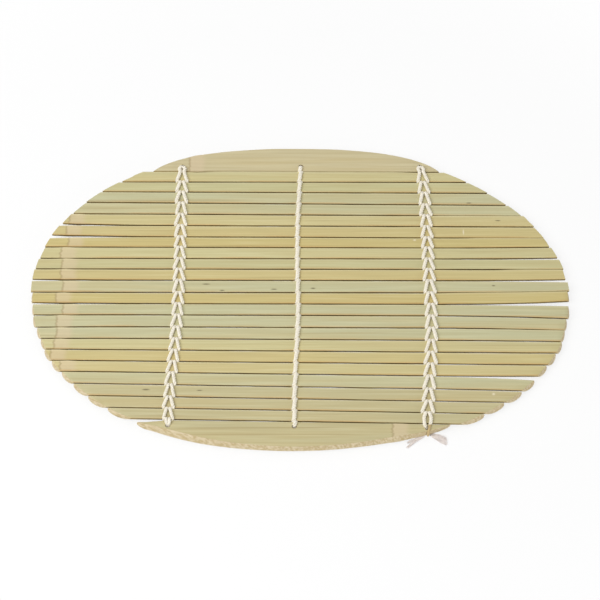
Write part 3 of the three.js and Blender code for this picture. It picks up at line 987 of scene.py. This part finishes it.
def model_knot(row, end):
    """A small flat knot of string under a board's hole"""
    centre = knot_place(row, end)
    line = []
    for step in range(KNOT_STEPS + 1):
        t = 2 * math.pi * step / KNOT_STEPS
        ring = KNOT_RING + KNOT_LOOP * math.cos(KNOT_LOOPS * t)
        x = ring * math.cos(KNOT_TURNS * t)
        y = ring * math.sin(KNOT_TURNS * t)
        line.append(Vector((x, y, KNOT_LIFT * math.sin(KNOT_LOOPS * t))))
    knot = tubes("%s_%s_tie" % (row, end), ply_lines(line, False), PLY_RADIUS, 1)
    for vertex in knot.data.vertices:
        vertex.co.x += centre.x
        vertex.co.y += centre.y
        vertex.co.z = min(max(vertex.co.z + BOTTOM / 2, LOWEST_STRING), BOTTOM + KNOT_SINK)
    settle(knot)
    knot.data.materials.append(STRING_COTTON)
    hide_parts("%s_%s_knot" % (row, end))
    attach(knot, "%s_board" % end)


def fray_lines(route, seed, spread, split):
    """Loose fibres that part on the way to the tip"""
    middle = rope_line(route)
    lines = []
    for fibre in range(FRAY_FIBRES):
        side = noise.noise((fibre * 1.37, seed, 0.5)) * FRAY_BREADTH
        lift = noise.noise((fibre * 2.11, seed, 7.5))
        longer = abs(noise.noise((fibre * 0.73, seed, 3.5))) * 2
        reach = FRAY_SHORTEST + (1 - FRAY_SHORTEST) * longer
        count = max(4, round(len(middle) * min(reach, 1.0)))
        line = []
        for step, place in enumerate(middle[:count]):
            t = step / (len(middle) - 1)
            part = split * math.copysign(1, side) * max(0.0, t - FRAY_SPLIT_START)
            open_out = FRAY_ROOT_BREADTH + spread * t * (1.4 - 0.6 * t)
            wave = FRAY_WAVE * t * math.sin(9 * t + fibre)
            aside = Vector((0.25 * lift * t, side * open_out + part + wave, 0.45 * lift * open_out))
            line.append(place + aside)
        for place in line:
            place.z = max(place.z, FRAY_LOWEST)
        lines.append(line)
    return lines


def model_frayed_ends():
    lines = []
    for fray in FRAYS:
        lines += fray_lines(*fray)
    frays = tubes("right_string_frays", lines, FRAY_FIBRE_RADIUS, 0)
    frays.data.materials.append(FRAYED_COTTON)
    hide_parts("right_string_tails")
    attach(frays, "front_board")
    tie = tubes("right_string_tie", [rope_line(TIE_ROUTE)], TIE_RADIUS, 2)
    settle(tie)
    tie.data.materials.append(TIE_COTTON)
    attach(tie, "front_board")


bpy.ops.object.select_all(action="DESELECT")
model_board(0, "back", 1, BACK_OVAL, BACK_RIM_SLOPE)
for slat_number in range(1, SLAT_COUNT + 1):
    model_slat(slat_number)
model_board(SLAT_COUNT + 1, "front", -1, FRONT_OVAL, FRONT_RIM_SLOPE)
for string_row in ROWS:
    model_string(string_row)
    for board_end in ("back", "front"):
        model_knot(string_row, board_end)
model_frayed_ends()


# Floor and light

FLOOR_SIZE = 6
FLOOR_DROP = 0.05 * MM
FLOOR_SEEN = 0.22
SHADOW_NEAR = 0.14
SHADOW_FAR = 0.26
WHITE = (1, 1, 1, 1)
STUDIO_LIGHT = 0.37
# Soft lamps: name, place, size and power
LAMPS = [
    ("key", (-0.55, -0.35, 0.8), 0.7, 6.5),
    ("fill", (0.1, 0.8, 1.2), 1.2, 3.8),
    ("side", (0.8, -0.7, 0.3), 0.5, 2.2),
]


def add_floor():
    """A white floor that is seen only as a faint shadow near the mat, and that shades nothing under it"""
    bpy.ops.object.select_all(action="DESELECT")
    bpy.ops.mesh.primitive_plane_add(size=FLOOR_SIZE, location=(0, 0, -FLOOR_DROP))
    floor = bpy.context.active_object
    floor.name = "floor"
    material, tree, shader = new_material("white_floor", 0.9, 0.0)
    shader.inputs["Base Color"].default_value = WHITE
    path = node(tree, "ShaderNodeLightPath")
    away = node(tree, "ShaderNodeVectorMath", {0: object_place(tree)}, operation="LENGTH")
    seen = ramp(tree, away.outputs["Value"], SHADOW_NEAR, SHADOW_FAR, FLOOR_SEEN, 0.0)
    side = node(tree, "ShaderNodeNewGeometry")
    above = node(tree, "ShaderNodeMath", {0: 1.0, 1: side.outputs["Backfacing"]}, operation="SUBTRACT")
    share = node(tree, "ShaderNodeMix", {
        0: path.outputs["Is Camera Ray"], 2: above.outputs[0], 3: seen,
    }, data_type="FLOAT")
    clear = node(tree, "ShaderNodeBsdfTransparent")
    mix = node(tree, "ShaderNodeMixShader", {
        0: share.outputs[0], 1: clear.outputs["BSDF"], 2: shader.outputs["BSDF"],
    })
    tree.links.new(mix.outputs[0], tree.nodes["Material Output"].inputs["Surface"])
    floor.data.materials.append(material)


def add_lamp(name, place, size, power):
    data = bpy.data.lights.new(name, "AREA")
    data.size = size
    data.energy = power
    lamp = bpy.data.objects.new(name, data)
    lamp.location = place
    lamp.rotation_euler = (-Vector(place)).to_track_quat("-Z", "Y").to_euler()
    bpy.context.scene.collection.objects.link(lamp)


def add_world():
    world = bpy.data.worlds.new("studio")
    bpy.context.scene.world = world
    world.use_nodes = True
    tree = world.node_tree
    light = tree.nodes["Background"]
    light.inputs["Color"].default_value = WHITE
    light.inputs["Strength"].default_value = STUDIO_LIGHT
    white = node(tree, "ShaderNodeBackground", {"Color": WHITE, "Strength": 1.0})
    path = node(tree, "ShaderNodeLightPath")
    seen = node(tree, "ShaderNodeMath", {0: path.outputs["Is Camera Ray"], 1: path.outputs["Is Glossy Ray"]},
                operation="MAXIMUM")
    seen = node(tree, "ShaderNodeMath", {0: seen.outputs["Value"], 1: path.outputs["Is Transmission Ray"]},
                operation="MAXIMUM")
    mix = node(tree, "ShaderNodeMixShader", {
        0: seen.outputs["Value"], 1: light.outputs[0], 2: white.outputs[0],
    })
    tree.links.new(mix.outputs[0], tree.nodes["World Output"].inputs["Surface"])


add_floor()
for soft_lamp in LAMPS:
    add_lamp(*soft_lamp)
add_world()
bpy.context.scene.view_settings.view_transform = "Standard"

bpy.ops.object.select_all(action="DESELECT")
bpy.context.view_layer.update()
